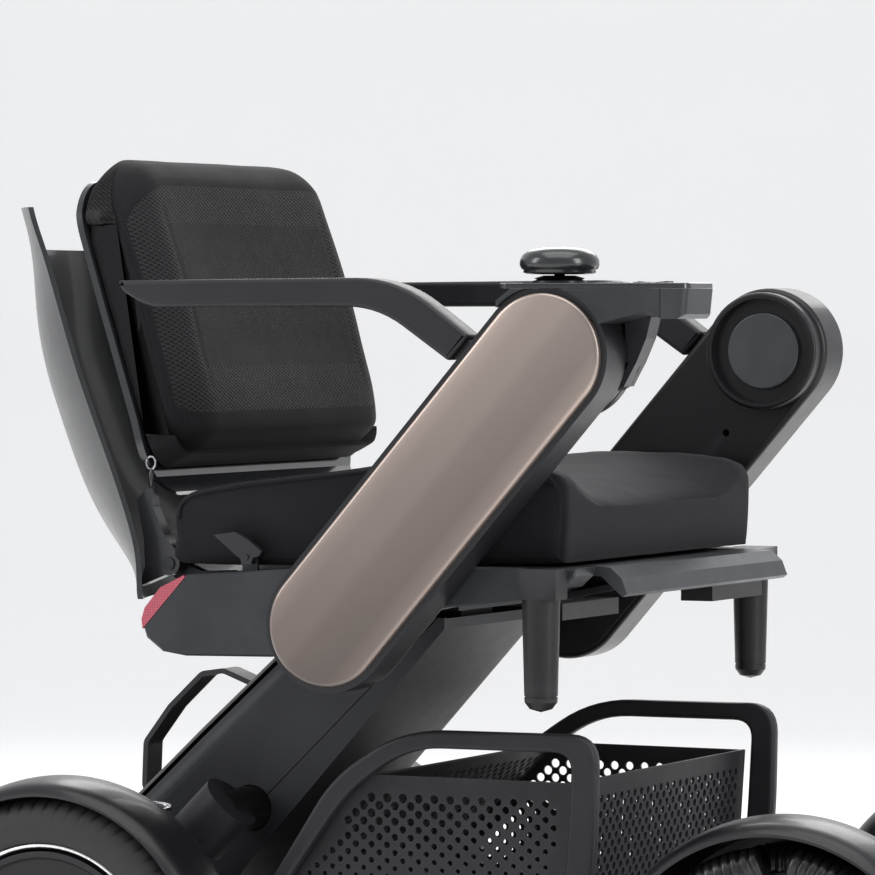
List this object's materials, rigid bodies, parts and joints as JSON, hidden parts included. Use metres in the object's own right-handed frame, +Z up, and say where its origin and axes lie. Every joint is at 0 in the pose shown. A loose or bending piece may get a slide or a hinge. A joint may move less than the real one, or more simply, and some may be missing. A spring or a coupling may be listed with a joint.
{
  "type": "power wheelchair",
  "caption": "Compact power wheelchair: slanted column base with sprung drive wheels, omni front wheels, flip-up arm pods, joystick, padded seat and backrest, perforated basket.",
  "frame": {"origin": "on the floor, at the middle of the overall footprint", "axes": "+X forward, +Y to the rider's left, +Z up"},
  "size_m": [0.9846, 0.544, 0.758],
  "materials": {
    "tyre": "matt tread rubber",
    "roller_rubber": "semi-gloss ribbed rubber",
    "rim": "satin dark grey",
    "arch": "satin black with a fine grain",
    "cover_bronze": "metallic champagne bronze under clear coat",
    "housing": "satin black",
    "frame": "powder-coated black",
    "column": "satin dark grey",
    "rail": "satin graphite",
    "armrest": "satin charcoal",
    "controller": "satin graphite",
    "gloss": "gloss black",
    "fabric_seat": "woven charcoal fabric",
    "fabric_back": "black spacer mesh",
    "back_shell": "satin-gloss dark grey",
    "basket": "charcoal perforated panel",
    "reflector": "translucent red prism plastic",
    "spring_steel": "bright coil spring",
    "motor": "dark cast aluminium",
    "battery": "black moulded plastic",
    "steel": "machined steel",
    "cap": "satin-gloss grey"
  },
  "bodies": {
    "chassis": {"main_frame": "frame", "column_rear_cover": "column", "column_front_cover": "column", "front_axles": "steel", "front_arch_right": "arch", "front_arch_left": "arch", "basket_rails": "basket", "basket_tub": "basket", "footrest_stem": "frame", "seat_side_rails": "rail", "reflectors": "reflector", "seat_plate": "rail", "seat_posts": "frame", "seat_cushion": "fabric_seat", "arm_pivot_pins": "steel", "spring_right": "spring_steel", "spring_left": "spring_steel"},
    "rear_arm_right": {"swing_arm_right": "frame", "motor_right": "motor", "rear_arch_right": "arch"},
    "rear_arm_left": {"swing_arm_left": "frame", "motor_left": "motor", "rear_arch_left": "arch"},
    "rear_wheel_right": {"rear_tyre_right": "tyre", "rear_rim_right": "rim", "rear_hub_cap_right": "cap"},
    "rear_wheel_left": {"rear_tyre_left": "tyre", "rear_rim_left": "rim", "rear_hub_cap_left": "cap"},
    "front_wheel_right": {"front_hub_right": "rim", "front_rollers_right": "roller_rubber"},
    "front_wheel_left": {"front_hub_left": "rim", "front_rollers_left": "roller_rubber"},
    "battery": {"battery_pack": "battery", "battery_handle": "housing"},
    "footrest": {"footplate": "rail"},
    "backrest": {"back_shell": "back_shell", "back_plate": "gloss", "back_cushion": "fabric_back"},
    "arm_left": {"arm_housing_left": "housing", "arm_cover_left": "cover_bronze", "arm_socket_cap": "cap"},
    "arm_right": {"arm_housing_right": "housing", "arm_cover_right": "cover_bronze", "controller_housing": "controller", "controller_nose": "controller", "controller_top": "gloss", "controller_mount": "controller", "joystick_boot": "roller_rubber"},
    "armrest_left": {"armrest_left": "armrest"},
    "armrest_right": {"armrest_right": "armrest"},
    "joystick_gimbal": {"joystick_cross": "steel"},
    "joystick": {"joystick_knob": "gloss"},
    "power_button": {"power_button": "gloss"},
    "horn_button": {"horn_button": "gloss"},
    "speed_rocker": {"speed_rocker": "gloss"},
    "arm_lever_left": {"arm_lever_left": "housing"},
    "arm_lever_right": {"arm_lever_right": "housing"},
    "brake_lever": {"brake_lever": "housing"}
  },
  "joints": [
    {"name": "suspension_right", "type": "hinge", "parent": "chassis", "child": "rear_arm_right", "pos_m": [-0.2157, -0.15, 0.108], "axis": [0, 1, 0], "range_deg": [0, 5], "stiffness_Nm_per_rad": 420, "springref_deg": -4.58, "deforming": ["spring_right"]},
    {"name": "suspension_left", "type": "hinge", "parent": "chassis", "child": "rear_arm_left", "pos_m": [-0.2157, 0.15, 0.108], "axis": [0, 1, 0], "range_deg": [0, 5], "stiffness_Nm_per_rad": 420, "springref_deg": -4.58, "deforming": ["spring_left"]},
    {"name": "rear_wheel_spin_right", "type": "hinge", "parent": "rear_arm_right", "child": "rear_wheel_right", "pos_m": [-0.3457, -0.23, 0.1325], "axis": [0, 1, 0], "continuous": true},
    {"name": "rear_wheel_spin_left", "type": "hinge", "parent": "rear_arm_left", "child": "rear_wheel_left", "pos_m": [-0.3457, 0.23, 0.1325], "axis": [0, 1, 0], "continuous": true},
    {"name": "front_wheel_spin_right", "type": "hinge", "parent": "chassis", "child": "front_wheel_right", "pos_m": [0.253, -0.23, 0.125], "axis": [0, 1, 0], "continuous": true},
    {"name": "front_wheel_spin_left", "type": "hinge", "parent": "chassis", "child": "front_wheel_left", "pos_m": [0.253, 0.23, 0.125], "axis": [0, 1, 0], "continuous": true},
    {"name": "battery_slide", "type": "slide", "parent": "chassis", "child": "battery", "axis": [-0.677, 0, 0.736], "range_m": [0, 0.06]},
    {"name": "footrest_flip", "type": "hinge", "parent": "chassis", "child": "footrest", "pos_m": [0.3093, 0, 0.062], "axis": [0, -1, 0], "range_deg": [0, 88]},
    {"name": "backrest_fold", "type": "hinge", "parent": "chassis", "child": "backrest", "pos_m": [-0.2797, 0, 0.442], "axis": [0, 1, 0], "range_deg": [0, 18]},
    {"name": "arm_flip_left", "type": "hinge", "parent": "chassis", "child": "arm_left", "pos_m": [-0.1124, 0.23, 0.4013], "axis": [0, -1, 0], "range_deg": [0, 50]},
    {"name": "arm_flip_right", "type": "hinge", "parent": "chassis", "child": "arm_right", "pos_m": [-0.1124, -0.23, 0.4013], "axis": [0, -1, 0], "range_deg": [0, 50]},
    {"name": "armrest_height_left", "type": "slide", "parent": "arm_left", "child": "armrest_left", "axis": [-0.7542, 0, 0.6566], "range_m": [0, 0.025]},
    {"name": "armrest_height_right", "type": "slide", "parent": "arm_right", "child": "armrest_right", "axis": [-0.7542, 0, 0.6566], "range_m": [0, 0.025]},
    {"name": "joystick_roll", "type": "hinge", "parent": "arm_right", "child": "joystick_gimbal", "pos_m": [0.065, -0.216, 0.64], "axis": [1, 0, 0], "range_deg": [-9, 9], "stiffness_Nm_per_rad": 0.4, "deforming": ["joystick_boot"]},
    {"name": "joystick_pitch", "type": "hinge", "parent": "joystick_gimbal", "child": "joystick", "pos_m": [0.065, -0.216, 0.64], "axis": [0, 1, 0], "range_deg": [-9, 9], "stiffness_Nm_per_rad": 0.4},
    {"name": "power_press", "type": "slide", "parent": "arm_right", "child": "power_button", "axis": [0, 0, -1], "range_m": [0, 0.0012], "stiffness_N_per_m": 900},
    {"name": "horn_press", "type": "slide", "parent": "arm_right", "child": "horn_button", "axis": [0, 0, -1], "range_m": [0, 0.0012], "stiffness_N_per_m": 900},
    {"name": "speed_rock", "type": "hinge", "parent": "arm_right", "child": "speed_rocker", "pos_m": [0.1403, -0.211, 0.6574], "axis": [0, 1, 0], "range_deg": [-4, 4], "stiffness_Nm_per_rad": 0.3},
    {"name": "arm_lever_pull_left", "type": "hinge", "parent": "chassis", "child": "arm_lever_left", "pos_m": [-0.2027, 0.199, 0.4495], "axis": [0, 1, 0], "range_deg": [0, 18], "stiffness_Nm_per_rad": 0.4},
    {"name": "arm_lever_pull_right", "type": "hinge", "parent": "chassis", "child": "arm_lever_right", "pos_m": [-0.2027, -0.199, 0.4495], "axis": [0, 1, 0], "range_deg": [0, 18], "stiffness_Nm_per_rad": 0.4},
    {"name": "brake_release", "type": "hinge", "parent": "chassis", "child": "brake_lever", "pos_m": [-0.3857, 0, 0.1155], "axis": [0, -1, 0], "range_deg": [0, 30]}
  ]
}
